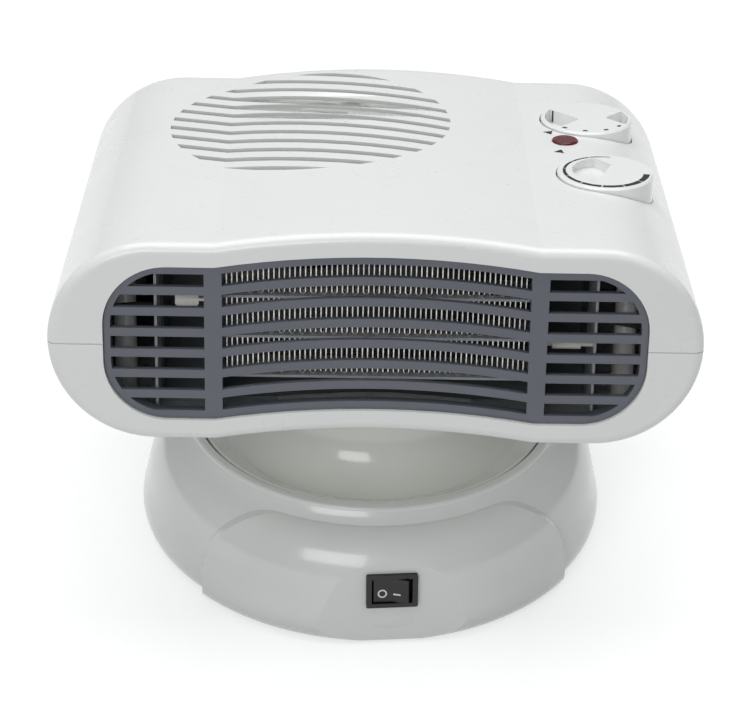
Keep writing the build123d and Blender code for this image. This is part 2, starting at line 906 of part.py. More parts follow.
with BuildPart() as motor_bushes:
    with BuildSketch(
        level(head, fan_x, fan_y, guide_floor - bush_height),
        level(head, fan_x, fan_y, shaft_bottom),
    ):
        Circle(bush_radius)
        Circle(shaft_radius + running_gap, mode=Mode.SUBTRACT)
    extrude(amount=bush_height)
finish(motor_bushes, "motor_bushes")

with BuildPart() as motor_screws:
    with BuildSketch(level(head, 0, 0, shaft_bottom)):
        with Locations(*motor_screw_places):
            Circle(screw_head_radius)
    extrude(amount=-screw_head)
    with BuildSketch(level(head, 0, 0, shaft_bottom)):
        with Locations(*motor_screw_places):
            Circle(motor_screw_radius)
    extrude(amount=guide_floor + guide_wall - shaft_bottom)
finish(motor_screws, "motor_screws")


# Controls

def control_body(x, y, name):
    """The body of a control under its well, with the bush that its spindle turns in."""
    with BuildPart() as body:
        with BuildSketch(level(head, x, y, control_top - control_height)):
            RectangleRounded(control_width, control_length, control_width / 8)
        extrude(amount=control_height)
        with BuildSketch(level(head, x, y, control_top - spindle_seat)):
            Circle(spindle_radius + running_gap)
        extrude(amount=spindle_seat, mode=Mode.SUBTRACT)
        for side in (-1, 1):
            with BuildSketch(
                level(head, x, y + side * control_length / 4, control_top - control_height)
            ):
                Rectangle(tab_width, tab_thickness)
            extrude(amount=-tab_length)
    finish(body, name)


with BuildPart() as thermostat_scoop:
    with BuildSketch(level(head, thermostat_x, thermostat_y, knob_top).rotated((0, 0, thermostat_turn))):
        with Locations((0, thermostat_scoop_shift)):
            Circle(thermostat_scoop_radius)
        with BuildLine():
            reach = 2 * thermostat_scoop_radius
            low = thermostat_scoop_edge - thermostat_scoop_wave
            high = thermostat_scoop_edge + thermostat_scoop_wave
            Spline((-reach, low), (-reach / 4, high), (reach / 6, low), (reach, high))
            Polyline((reach, high), (reach, -reach), (-reach, -reach), (-reach, low))
        make_face(mode=Mode.INTERSECT)
    extrude(amount=-thermostat_scoop_depth)

with BuildPart() as selector_scoops:
    with BuildSketch(level(head, selector_x, selector_y, knob_top)):
        half_diagonal = selector_scoop_radius
        length = half_diagonal * sqrt(2)
        for side, tip, shift in zip((-1, 1), selector_scoop_tips, selector_scoop_shifts):
            with Locations((side * (tip + half_diagonal), shift)):
                RectangleRounded(length, length, selector_scoop_round, rotation=45)
        Circle(selector_scoop_radius, mode=Mode.INTERSECT)
    extrude(amount=-selector_scoop_depth)


def control_knob(x, y, scoops, name):
    """A round knob with scoops in its face for the fingers."""
    with BuildPart() as knob:
        with BuildSketch(level(head, x, y, knob_top - knob_height)):
            Circle(knob_radius)
        extrude(amount=knob_height)
        rims = knob.edges().filter_by(GeomType.CIRCLE).sort_by(Axis(head.origin, head.z_dir))
        chamfer(rims[-1], knob_edge)
        add(scoops.part, mode=Mode.SUBTRACT)
        with BuildSketch(level(head, x, y, knob_top - knob_height)):
            Circle(spindle_radius + running_gap)
        extrude(amount=spindle_seat, mode=Mode.SUBTRACT)
    finish(knob, name)


def control_spindle(x, y, name):
    """The round spindle between a knob and its control."""
    with BuildPart() as spindle:
        with BuildSketch(level(head, x, y, control_top - spindle_seat + running_gap)):
            Circle(spindle_radius)
        extrude(amount=knob_top - knob_height - control_top + 2 * spindle_seat - 2 * running_gap)
    finish(spindle, name)


control_body(thermostat_x, thermostat_y, "thermostat_body")
control_body(selector_x, selector_y, "selector_body")
control_knob(thermostat_x, thermostat_y, thermostat_scoop, "thermostat_knob")
control_knob(selector_x, selector_y, selector_scoops, "selector_knob")
control_spindle(thermostat_x, thermostat_y, "thermostat_spindle")
control_spindle(selector_x, selector_y, "selector_spindle")

lamp_bottom = half_height - lamp_depth
with BuildPart() as lamp_lens:
    with BuildSketch(level(head, lamp_x, lamp_y, lamp_bottom)):
        Circle(lamp_radius)
    extrude(amount=lamp_depth + lamp_proud)
    fillet(lamp_lens.edges().sort_by(Axis(head.origin, head.z_dir))[-1], lamp_proud)
    with BuildSketch(level(head, lamp_x, lamp_y, lamp_bottom)):
        Circle(lamp_radius - lamp_wall)
    extrude(amount=lamp_depth + lamp_proud - lamp_wall, mode=Mode.SUBTRACT)
finish(lamp_lens, "lamp_lens")

with BuildPart() as lamp_socket:
    with BuildSketch(level(head, lamp_x, lamp_y, lamp_bottom)):
        Circle(lamp_radius)
    extrude(amount=-lamp_holder)
finish(lamp_socket, "lamp_socket")

with BuildPart() as lamp_bulb:
    with BuildSketch(level(head, lamp_x, lamp_y, lamp_bottom)):
        Circle(bulb_radius)
    extrude(amount=bulb_height)
    fillet(lamp_bulb.edges().sort_by(Axis(head.origin, head.z_dir))[-1], bulb_radius / 2)
finish(lamp_bulb, "lamp_bulb")


# Leads inside the head, from the controls to the heater

def lead(points, name):
    """A round lead along straight runs joined by arcs as large as the runs allow."""
    radii = []
    for before, here, after in zip(points, points[1:], points[2:]):
        run_in = Vector(*here) - Vector(*before)
        run_out = Vector(*after) - Vector(*here)
        turn = run_in.get_angle(run_out)
        radii.append(lead_arc_share * min(run_in.length, run_out.length) / tan(radians(turn / 2)))
    print(name, "radii", [round(r, 1) for r in radii])
    places = [head.from_local_coords(p) for p in points]
    with BuildPart() as tube:
        with BuildLine() as route:
            FilletPolyline(*places, radius=radii)
        with BuildSketch(Plane(origin=route.line @ 0, z_dir=route.line % 0)):
            Circle(lead_radius)
        sweep()
    finish(tube, name)


lead_start_x = heater_half_width + board / 2 + fitting_gap
lead_y = heater_front + heater_depth / 3
lead_side_x = half_width - lead_in
lead_low_z = lead_rise - half_height
lead_end_z = control_top - control_height - fitting_gap
control_middle_z = control_top - control_height / 2
lead(
    [
        (-lead_start_x, lead_y, 9),
        (-lead_start_x - 6, lead_y, 9),
        (9 - lead_side_x, lead_y + 2, 7),
        (-lead_side_x, lead_y + 13, 0),
        (-lead_side_x, lead_y + 33, -9),
        (6 - lead_side_x, -40, lead_low_z + 8.5),
        (19 - lead_side_x, -20, lead_low_z + 3.5),
        (50 - lead_side_x, -13, lead_low_z + 1),
        (-25, -14, lead_low_z),
        (14, -13, lead_low_z + 0.5),
        (lead_side_x - 60, -11, lead_low_z + 3.5),
        (lead_side_x - 34, -15, lead_low_z + 8.5),
        (thermostat_x - control_width / 4, thermostat_y, lead_end_z - 9),
        (thermostat_x - control_width / 4, thermostat_y, lead_end_z),
    ],
    "left_heater_lead",
)
lead(
    [
        (lead_start_x, lead_y, 5),
        (lead_start_x + 7, lead_y, 5),
        (lead_side_x - 6, lead_y, 3),
        (lead_side_x, lead_y + 9, 0),
        (lead_side_x - 2, lead_y + 21, 4),
        (lead_side_x - 11, lead_y + 32, 13),
        (thermostat_x, thermostat_y - 23, control_middle_z),
        (thermostat_x, thermostat_y - control_length / 2 - fitting_gap, control_middle_z),
    ],
    "right_heater_lead",
)


# Turntable and neck

with BuildPart() as neck_bosses:
    with BuildSketch(level(head, 0, 0, -half_height + arch_rise)):
        with Locations(*neck_screw_places):
            Circle(neck_boss_radius)
    extrude(amount=-neck_boss_length)

with BuildPart() as turntable:
    with BuildSketch(sideways(stand, 0, 0, 0)):
        with BuildLine():
            Line((0, turntable_bottom), (turntable_radius, turntable_bottom))
            Line((turntable_radius, turntable_bottom), (turntable_radius, rim_height - rim_round))
            RadiusArc(
                (turntable_radius, rim_height - rim_round),
                (turntable_radius - rim_round, rim_height),
                -rim_round,
            )
            Line((turntable_radius - rim_round, rim_height), (valley_radius, valley_height))
            Spline(
                (valley_radius, valley_height),
                (neck_radius, flare_height),
                tangents=((-1, 0), (0, 1)),
            )
            Line((neck_radius, flare_height), (neck_radius, head_centre_height))
            Line((neck_radius, head_centre_height), (0, head_centre_height))
            Line((0, head_centre_height), (0, turntable_bottom))
        make_face()
    revolve(axis=Axis(stand.origin, stand.z_dir))
    with BuildSketch(level(stand, 0, 0, valley_height)):
        Circle(neck_radius - neck_wall)
    extrude(amount=head_centre_height, mode=Mode.SUBTRACT)
    add(neck_bosses.part)
    with BuildSketch(level(stand, 0, 0, hub_bottom)):
        Circle(hub_radius)
    extrude(amount=valley_height - hub_bottom)
    with BuildSketch(level(stand, 0, 0, hub_bottom)):
        Circle(cable_radius + fitting_gap)
    extrude(amount=head_centre_height, mode=Mode.SUBTRACT)
    with BuildSketch(level(head, 0, 0, 0)):
        with Locations(*neck_screw_places):
            Circle(neck_screw_radius + running_gap)
    extrude(amount=-(half_height - arch_rise + neck_boss_length), mode=Mode.SUBTRACT)
    with BuildSketch(level(stand, 0, 0, hub_bottom)):
        with PolarLocations(sector_screw_ring, 3):
            Circle(screw_radius + running_gap)
    extrude(amount=sector_screw_length, mode=Mode.SUBTRACT)
    add(head_block(-fitting_gap), mode=Mode.SUBTRACT)
finish(turntable, "turntable")

with BuildPart() as neck_screws:
    with BuildSketch(level(head, 0, 0, neck_pad_top)):
        with Locations(*neck_screw_places):
            Circle(screw_head_radius)
    extrude(amount=screw_head)
    with BuildSketch(level(head, 0, 0, neck_pad_top)):
        with Locations(*neck_screw_places):
            Circle(neck_screw_radius)
    extrude(amount=-(neck_boss_length + neck_pad_top + half_height - arch_rise))
finish(neck_screws, "neck_screws")


# Drive of the turntable

sector_pitch_radius = gear_module * sector_teeth / 2
pinion_pitch_radius = gear_module * pinion_teeth / 2
drive_distance = sector_pitch_radius + pinion_pitch_radius
tooth_shares = (0.27, 0.21, 0.1)
tooth_reach_shares = (-1.2, 0, 0.9)


def tooth_face(pitch_radius, teeth):
    """Plan of one gear tooth on the plane's x axis, from its root to its tip."""
    pitch_angle = 360 / teeth
    side = [
        (pitch_radius + reach * gear_module, share * pitch_angle)
        for reach, share in zip(tooth_reach_shares, tooth_shares)
    ]
    root = (pitch_radius - 2 * gear_module, side[0][1])
    with BuildSketch() as sketch:
        with BuildLine():
            Polyline(
                *[around(r, a) for r, a in [root] + side],
                *[around(r, -a) for r, a in reversed([root] + side)],
                close=True,
            )
        make_face()
    return sketch.sketch


root_reach = tooth_reach_shares[0] * gear_module
sector_middle = drive_angle - stand_turn
sector_root = sector_pitch_radius + root_reach
teeth_each_side = ceil(sector_half_angle / (360 / sector_teeth)) - 1
sector_plane = level(stand, 0, 0, hub_bottom - gear_height)
with BuildPart() as gear_sector:
    with BuildSketch(sector_plane):
        Circle(sector_hub_radius)
        with BuildLine():
            Line((0, 0), around(sector_root, sector_middle - sector_half_angle))
            CenterArc((0, 0), sector_root, sector_middle - sector_half_angle, 2 * sector_half_angle)
            Line(around(sector_root, sector_middle + sector_half_angle), (0, 0))
        make_face()
        for tooth in range(-teeth_each_side, teeth_each_side):
            add(
                tooth_face(sector_pitch_radius, sector_teeth).rotate(
                    Axis.Z, drive_angle + (tooth + 1 / 2) * 360 / sector_teeth
                )
            )
        Circle(cable_radius + fitting_gap, mode=Mode.SUBTRACT)
        with PolarLocations(sector_screw_ring, 3):
            Circle(screw_radius + fitting_gap, mode=Mode.SUBTRACT)
    extrude(amount=gear_height)
finish(gear_sector, "gear_sector")

with BuildPart() as sector_screws:
    with BuildSketch(sector_plane):
        with PolarLocations(sector_screw_ring, 3):
            Circle(screw_head_radius)
    extrude(amount=-screw_head)
    with BuildSketch(sector_plane):
        with PolarLocations(sector_screw_ring, 3):
            Circle(screw_radius)
    extrude(amount=sector_screw_length)
finish(sector_screws, "sector_screws")

drive_x, drive_y = around(drive_distance, drive_angle)
with BuildPart() as drive_pinion:
    with BuildSketch(level(stand, drive_x, drive_y, hub_bottom - gear_height)):
        Circle(pinion_pitch_radius + root_reach)
        for tooth in range(pinion_teeth):
            add(
                tooth_face(pinion_pitch_radius, pinion_teeth).rotate(
                    Axis.Z, drive_angle + 180 + tooth * 360 / pinion_teeth
                )
            )
    extrude(amount=gear_height)
    with BuildSketch(level(stand, drive_x, drive_y, drive_motor_top - drive_shaft_seat + running_gap)):
        Circle(drive_shaft_radius)
    extrude(amount=hub_bottom - drive_motor_top + drive_shaft_seat - running_gap)
finish(drive_pinion, "drive_pinion")

drive_ear_places = [
    (drive_x + x, drive_y + y)
    for x, y in (around(drive_ear_reach, drive_angle + 90), around(drive_ear_reach, drive_angle - 90))
]
with BuildPart() as drive_motor:
    with BuildSketch(level(stand, drive_x, drive_y, drive_motor_top - drive_motor_height)):
        Circle(drive_motor_radius)
    extrude(amount=drive_motor_height)
    with BuildSketch(level(stand, 0, 0, drive_motor_top - drive_ear_height)):
        with Locations(*drive_ear_places):
            Circle(drive_ear_radius)
            Circle(screw_radius + fitting_gap, mode=Mode.SUBTRACT)
    extrude(amount=drive_ear_height)
    with BuildSketch(level(stand, drive_x, drive_y, drive_motor_top - drive_shaft_seat)):
        Circle(drive_shaft_radius + running_gap)
    extrude(amount=drive_shaft_seat, mode=Mode.SUBTRACT)
finish(drive_motor, "drive_motor")

with BuildPart() as drive_screws:
    with BuildSketch(level(stand, 0, 0, drive_motor_top - drive_ear_height)):
        with Locations(*drive_ear_places):
            Circle(screw_head_radius)
    extrude(amount=-screw_head)
    with BuildSketch(level(stand, 0, 0, drive_motor_top - drive_ear_height)):
        with Locations(*drive_ear_places):
            Circle(screw_radius)
    extrude(amount=drive_ear_height + housing_screw_bite / 2)
finish(drive_screws, "drive_screws")


# Base shell

def dome_solid(plane):
    """The body of the dome up to its shoulder, turned about this plane's axis."""
    with BuildPart() as dome:
        with BuildSketch(sideways(plane, 0, 0, 0)):
            with BuildLine():
                Line((0, foot_height), (base_bottom_radius, foot_height))
                Spline(
                    (base_bottom_radius, foot_height),
                    (base_wide_radius, base_wide_height),
                    dome_low,
                    dome_middle,
                    dome_high,
                    (pod_top_radius, pod_top_height),
                )
                Line((pod_top_radius, pod_top_height), (0, pod_top_height))
                Line((0, pod_top_height), (0, foot_height))
            make_face()
        revolve(axis=Axis(plane.origin, plane.z_dir))
    return dome.part


def dome_hollow(plane, wall):
    """The space inside the dome about this plane's axis, up to the floor of the dish."""
    roof = dish_floor - dish_thickness
    foot = base_bottom_radius - wall
    high = dome_high[0] - wall
    with BuildPart() as dome:
        with BuildSketch(sideways(plane, 0, 0, 0)):
            with BuildLine():
                Line((0, foot_height - overrun), (foot, foot_height - overrun))
                Line((foot, foot_height - overrun), (foot, foot_height))
                Spline(
                    (foot, foot_height),
                    (base_wide_radius - wall, base_wide_height),
                    (dome_low[0] - wall, dome_low[1]),
                    (dome_middle[0] - wall, dome_middle[1]),
                    (high, roof),
                )
                Line((high, roof), (0, roof))
                Line((0, roof), (0, foot_height - overrun))
            make_face()
        revolve(axis=Axis(plane.origin, plane.z_dir))
    return dome.part


pod_plane = level(stand, 0, -pod_forward, 0)
panel = Plane(
    origin=stand.from_local_coords((0, -panel_y, base_wide_height)),
    x_dir=stand.x_dir,
    z_dir=-stand.y_dir * cos(radians(panel_lean)) + stand.z_dir * sin(radians(panel_lean)),
)


def pod_mask(inset):
    """The part of the front that the raised panel covers, behind its flat face."""
    wide = 2 * (pod_half_width - inset)
    with BuildPart() as mask:
        with BuildSketch(facing(stand, 0, 0, 0)):
            with Locations((0, (pod_top_height - inset) / 2 - pod_corner)):
                RectangleRounded(wide, pod_top_height - inset + 2 * pod_corner, pod_corner - inset)
        extrude(amount=2 * panel_y)
        split(bisect_by=panel.offset(-inset), keep=Keep.BOTTOM)
    return mask.part


with BuildPart() as pod:
    add(dome_solid(pod_plane))
    add(pod_mask(0), mode=Mode.INTERSECT)

with BuildPart() as pod_hollow:
    add(dome_hollow(pod_plane, base_wall))
    add(pod_mask(base_wall), mode=Mode.INTERSECT)

base_screw_places = [around(base_screw_ring, base_screw_turn + 90 * n) for n in range(4)]
line_gap = sweep_each_way + sector_half_angle
stop_ring = sector_pitch_radius - 2 * gear_module
stop_turn = line_gap + degrees((stop_radius + fitting_gap) / stop_ring)
stop_places = [around(stop_ring, drive_angle + side * stop_turn) for side in (-1, 1)]
base_plate_top = foot_height + base_plate_thickness
dish_roof = dish_floor - dish_thickness
switch_up = switch_height - base_wide_height

with BuildPart() as base_shell:
    with BuildSketch(sideways(stand, 0, 0, 0)):
        with BuildLine():
            Line((0, foot_height), (base_bottom_radius, foot_height))
            Spline(
                (base_bottom_radius, foot_height),
                (base_wide_radius, base_wide_height),
                dome_low,
                dome_middle,
                dome_high,
                dome_neck,
                (lip_radius, lip_height - lip_round),
            )
            RadiusArc(
                (lip_radius, lip_height - lip_round), (lip_radius - lip_round, lip_height), -lip_round
            )
            Line((lip_radius - lip_round, lip_height), (0, lip_height))
            Line((0, lip_height), (0, foot_height))
        make_face()
    revolve(axis=Axis(stand.origin, stand.z_dir))
    add(pod.part)
    add(dome_hollow(stand, base_wall), mode=Mode.SUBTRACT)
    add(pod_hollow.part, mode=Mode.SUBTRACT)
    with BuildSketch(level(stand, 0, 0, dish_floor)):
        Circle(dish_radius)
    extrude(amount=head_height, mode=Mode.SUBTRACT)
    with BuildSketch(level(stand, 0, 0, dish_roof)):
        Circle(hub_radius + collar_width)
    extrude(amount=-(dish_roof - hub_bottom - fitting_gap))
    with BuildSketch(level(stand, 0, 0, dish_roof)):
        with Locations(*base_screw_places):
            Circle(base_post_radius)
    extrude(amount=-(dish_roof - base_plate_top))
    with BuildSketch(level(stand, 0, 0, dish_roof)):
        with Locations(*drive_ear_places):
            Circle(base_post_radius)
    extrude(amount=-(dish_roof - drive_motor_top))
    with BuildSketch(level(stand, 0, 0, dish_roof)):
        with Locations(*stop_places):
            Circle(stop_radius)
    extrude(amount=-(dish_roof - hub_bottom + gear_height))
    with BuildSketch(level(stand, 0, 0, 0)):
        Circle(hub_hole)
    extrude(amount=head_height, mode=Mode.SUBTRACT)
    with BuildSketch(level(stand, 0, 0, 0)):
        with Locations(*base_screw_places):
            Circle(screw_radius + running_gap)
    extrude(amount=base_plate_top + base_screw_length, mode=Mode.SUBTRACT)
    with BuildSketch(level(stand, 0, 0, 0)):
        with Locations(*drive_ear_places):
            Circle(screw_radius + running_gap)
    extrude(amount=drive_motor_top + housing_screw_bite / 2, mode=Mode.SUBTRACT)
    with BuildSketch(panel):
        with Locations((0, switch_up)):
            Rectangle(switch_body_width + 2 * running_gap, switch_body_height + 2 * running_gap)
    extrude(amount=-switch_body_depth, mode=Mode.SUBTRACT)
    with BuildSketch(facing(stand, 0, base_wide_radius - cord_bush_length, cord_bush_height)):
        Circle(cord_bush_radius + running_gap)
    extrude(amount=-2 * cord_bush_length, mode=Mode.SUBTRACT)
finish(base_shell, "base_shell")

plate_wall = base_wall + fitting_gap
with BuildPart() as base_plate:
    add(dome_hollow(pod_plane, plate_wall))
    add(pod_mask(plate_wall), mode=Mode.INTERSECT)
    add(dome_hollow(stand, plate_wall))
    with BuildSketch(level(stand, 0, 0, foot_height)):
        Circle(2 * base_wide_radius)
    extrude(amount=base_plate_thickness, mode=Mode.INTERSECT)
    with BuildSketch(level(stand, 0, 0, foot_height)):
        with Locations(*base_screw_places):
            Circle(screw_radius + fitting_gap)
    extrude(amount=base_plate_thickness, mode=Mode.SUBTRACT)
    with BuildSketch(level(stand, 0, 0, foot_height)):
        with Locations(*base_screw_places):
            Circle(screw_head_radius + fitting_gap)
    extrude(amount=screw_head / 2, mode=Mode.SUBTRACT)
finish(base_plate, "base_plate")

base_screw_seat = foot_height + screw_head / 2
with BuildPart() as base_screws:
    with BuildSketch(level(stand, 0, 0, base_screw_seat)):
        with Locations(*base_screw_places):
            Circle(screw_head_radius)
    extrude(amount=-screw_head / 2)
    with BuildSketch(level(stand, 0, 0, base_screw_seat)):
        with Locations(*base_screw_places):
            Circle(screw_radius)
    extrude(amount=base_screw_length)
finish(base_screws, "base_screws")

with BuildPart() as rubber_feet:
    with BuildSketch(level(stand, 0, 0, 0)):
        with PolarLocations(foot_place, 4, start_angle=45):
            Circle(foot_radius)
    extrude(amount=foot_height)
finish(rubber_feet, "rubber_feet")

glide_width = hub_radius / 3
with BuildPart() as glide_ring:
    with BuildSketch(level(stand, 0, 0, dish_floor)):
        Circle(valley_radius)
        Circle(valley_radius - glide_width, mode=Mode.SUBTRACT)
    extrude(amount=turntable_bottom - dish_floor - running_gap)
finish(glide_ring, "glide_ring")

with BuildPart() as terminal_block:
    with BuildSketch(level(stand, 0, 0, base_plate_top)):
        RectangleRounded(terminal_width, terminal_depth, terminal_height / 5)
    extrude(amount=terminal_height)
finish(terminal_block, "terminal_block")

cable_bottom = base_plate_top + terminal_height + fitting_gap
cable_top = head_centre_height + neck_pad_top
with BuildPart() as riser_cable:
    with BuildSketch(level(stand, 0, 0, cable_bottom)):
        Circle(cable_radius)
    extrude(amount=cable_top - cable_bottom)
finish(riser_cable, "riser_cable")

with BuildPart() as cord_bush:
    bush_start = base_wide_radius + cord_bush_proud - cord_bush_length
    with BuildSketch(facing(stand, 0, bush_start, cord_bush_height)):
        Circle(cord_bush_radius)
    extrude(amount=-cord_bush_length)
    with BuildSketch(facing(stand, 0, base_wide_radius + seam_gap, cord_bush_height)):
        Circle(cord_bush_flange)
    extrude(amount=-cord_bush_proud / 2)
    with BuildSketch(facing(stand, 0, bush_start, cord_bush_height)):
        Circle(cord_bore)
    extrude(amount=-cord_bush_length, mode=Mode.SUBTRACT)
finish(cord_bush, "cord_bush")


# Rocker switch

rocker_pin_length = seam_gap / 2 + switch_wall / 2
switch_face = Plane(
    origin=panel.from_local_coords((0, switch_up, 0)), x_dir=panel.x_dir, z_dir=panel.z_dir
)
rocker_plane = switch_face.offset(bezel_proud - rocker_depth / 2)
with BuildPart() as switch_housing:
    with BuildSketch(switch_face):
        RectangleRounded(bezel_width, bezel_height, bezel_round)
    extrude(amount=bezel_proud)
    with BuildSketch(switch_face):
        Rectangle(switch_body_width, switch_body_height)
    extrude(amount=-switch_body_depth)
    with BuildSketch(switch_face.offset(bezel_proud - rocker_depth)):
        Rectangle(rocker_width + 2 * seam_gap, rocker_height + seam_gap)
    extrude(amount=rocker_depth, mode=Mode.SUBTRACT)
    with BuildSketch(
        Plane(
            origin=rocker_plane.from_local_coords((0, -rocker_height / 2 - rocker_pin_length, 0)),
            x_dir=rocker_plane.x_dir,
            z_dir=-rocker_plane.y_dir,
        )
    ):
        Circle(rocker_pin_radius + running_gap)
    extrude(amount=-(rocker_height + 2 * rocker_pin_length), mode=Mode.SUBTRACT)
    with BuildSketch(switch_face.offset(-switch_body_depth)):
        with Locations((-switch_body_width / 3, 0), (0, 0)):
            Rectangle(tab_thickness, tab_width)
    extrude(amount=-tab_length)
finish(switch_housing, "switch_housing")

rocker_reach = rocker_width / 2
rocker_rise = 2 * rocker_reach * tan(radians(rocker_travel))
rocker_side = Plane(
    origin=rocker_plane.from_local_coords((0, -rocker_height / 2, 0)),
    x_dir=rocker_plane.x_dir,
    z_dir=-rocker_plane.y_dir,
)
with BuildPart() as switch_rocker:
    with BuildSketch(rocker_side):
        Circle(rocker_reach)
        with BuildLine():
            Polyline(
                (-2 * rocker_reach, rocker_face),
                (0, rocker_face),
                (2 * rocker_reach, rocker_face + rocker_rise),
                (2 * rocker_reach, rocker_rise - rocker_back),
                (0, -rocker_back),
                (-2 * rocker_reach, -rocker_back),
                close=True,
            )
        make_face(mode=Mode.INTERSECT)
    extrude(amount=-rocker_height)
    with BuildSketch(rocker_side.offset(rocker_pin_length)):
        Circle(rocker_pin_radius)
    extrude(amount=-(rocker_height + 2 * rocker_pin_length))
finish(switch_rocker, "switch_rocker")

print("turntable axis y", round(axis_y, 3))
print("head origin", head.origin, "up", head.z_dir)
for x, y in knob_places:
    print("knob axis point", head.from_local_coords((x, y, knob_top)))
print("fan axis point", head.from_local_coords((fan_x, fan_y, 0)))
print("pinion axis point", stand.from_local_coords((drive_x, drive_y, 0)))
print("rocker axis point", rocker_plane.origin, "along", rocker_plane.y_dir)
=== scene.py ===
import math

import bmesh
import bpy
from mathutils import Matrix, Vector


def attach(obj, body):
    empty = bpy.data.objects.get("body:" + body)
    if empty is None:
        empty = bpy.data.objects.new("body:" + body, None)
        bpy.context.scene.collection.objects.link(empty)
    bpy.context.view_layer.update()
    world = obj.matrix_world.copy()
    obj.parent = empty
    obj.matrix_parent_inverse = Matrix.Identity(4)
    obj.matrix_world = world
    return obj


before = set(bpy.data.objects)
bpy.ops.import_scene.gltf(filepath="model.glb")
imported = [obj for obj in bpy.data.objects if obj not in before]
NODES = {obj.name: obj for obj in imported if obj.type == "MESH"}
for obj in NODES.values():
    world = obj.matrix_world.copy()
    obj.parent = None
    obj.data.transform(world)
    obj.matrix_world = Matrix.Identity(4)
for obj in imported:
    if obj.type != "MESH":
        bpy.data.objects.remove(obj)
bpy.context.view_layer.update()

# Sizes repeated from the CAD source, in millimetres and degrees
MM = 0.001
AXIS_Y = 0.885
HEAD_SHIFT = 8.0
HEAD_HEIGHT = 130.4
HEAD_TILT = 6.0
HALF_HEIGHT = 40.7
KNOB_TOP = 42.1
THERMOSTAT = (91.4, -31.0)
SELECTOR = (88.7, 32.5)
SCOOP_TIP = 2.8
SCOOP_SHIFT = -2.3
SCOOP_DEPTH = 5.5
STAND_TURN = 5.0
PANEL_Y = 99.7
PANEL_FOOT = 6.0
PANEL_LEAN = 5.5
SWITCH_HEIGHT = 25.2
ROCKER_AXIS = -1.2
ROCKER_FACE = 2.0
ROCKER_TRAVEL = 18.0

# Printed marks, in millimetres and degrees
INK = 0.06
INK_SUNK = 0.04
INK_MERGE = 0.001
SCALE_START = 78.0
SCALE_END = 352.0
SCALE_SEGMENTS = 9
SCALE_GAP = 1.6
SCALE_RADIUS = 16.5
SCALE_THIN = 0.5
SCALE_THICK = 2.6
MARK_ANGLES = (-128.0, -96.0, -64.0, -37.0)
MARK_RADIUS = 16.3
MARK_TURN = 7.0
MARK_WIDTH = 1.3
INDEX_OUT = 10.8
INDEX_TURN = -45.0
INDEX_WIDTH = 0.8
INDEX_HEIGHT_SHARE = 0.92
# Name, x, y and heading of each pointer
POINTERS = (("selector_pointer", 71.9, 17.3, 48.0), ("thermostat_pointer", 74.9, -5.3, -48.0))
POINTER_RADIUS = 2.5
RING_PLACE = (-3.9, -1.4)
RING_RADIUS = 1.6
RING_WIDTH = 0.6
BAR_PLACE = (2.7, -1.7)
BAR_SIZE = (3.0, 0.7)
BAND_STEPS = 14
MARK_STEPS = 4
RING_STEPS = 36

# Relief of the surfaces, in metres
MOULD_WAVE = 0.001
MOULD_SKIN = 0.00008
METAL_SKIN = 0.00005
DULL_SKIN = 0.0001
GLAZE_RELIEF = 0.0002
LAYER_RELIEF = 0.0002
WIRE_RELIEF = 0.0003

# Studio, in metres, degrees and watts
FLOOR_RADIUS = 4.0
FLOOR_SEGMENTS = 96
FLOOR_GREY = (0.52, 0.52, 0.52, 1.0)
FLOOR_GLOW = 0.62
SKY_COLOUR = (0.93, 0.96, 1.0, 1.0)
SKY_STRENGTH = 0.42
SEEN_COLOUR = (1.0, 1.0, 1.0, 1.0)
LIGHT_TARGET = (0.0, 0.0, 0.1)
# Name, place, width and depth, and power of each light
SOFTBOXES = (
    ("top_softbox", (0.0, 0.15, 1.3), (1.3, 1.1), 11.0),
    ("front_softbox", (-0.5, -1.5, 0.9), (0.9, 0.7), 7.0),
)
CAMERA_SIDE = -0.00833
CAMERA_BEFORE = 0.91038
CAMERA_HEIGHT = 0.628
TARGET_SIDE = 0.00073
TARGET_HEIGHT = 0.079
CAMERA_ROLL = 1.17
CAMERA_LENS = 119.6
CAMERA_SENSOR = 36.0
CAMERA_CLIP = 0.01


def srgb(red, green, blue):
    """Linear colour of a screen colour given from 0 to 255."""
    def linear(value):
        share = value / 255
        return share / 12.92 if share <= 0.04045 else ((share + 0.055) / 1.055) ** 2.4
    return (linear(red), linear(green), linear(blue), 1.0)


def shade(colour, factor):
    """The colour made darker or lighter by a factor."""
    return tuple(min(1.0, c * factor) for c in colour[:3]) + (1.0,)


# Frames of the head and of the rocker

HEAD_FRAME = (
    Matrix.Translation((0, (AXIS_Y + HEAD_SHIFT) * MM, HEAD_HEIGHT * MM))
    @ Matrix.Rotation(math.radians(-HEAD_TILT), 4, "X")
)


def head_at(x, y, z):
    """Frame at a place on the tilted head, given in millimetres along its own axes."""
    return HEAD_FRAME @ Matrix.Translation((x * MM, y * MM, z * MM))


STAND_FRAME = (
    Matrix.Translation((0, AXIS_Y * MM, 0))
    @ Matrix.Rotation(math.radians(STAND_TURN), 4, "Z")
)
ROCKER_FRAME = (
    STAND_FRAME
    @ Matrix.Translation((0, -PANEL_Y * MM, PANEL_FOOT * MM))
    @ Matrix.Rotation(math.radians(90 - PANEL_LEAN), 4, "X")
    @ Matrix.Translation((0, (SWITCH_HEIGHT - PANEL_FOOT) * MM, ROCKER_AXIS * MM))
)


# Materials

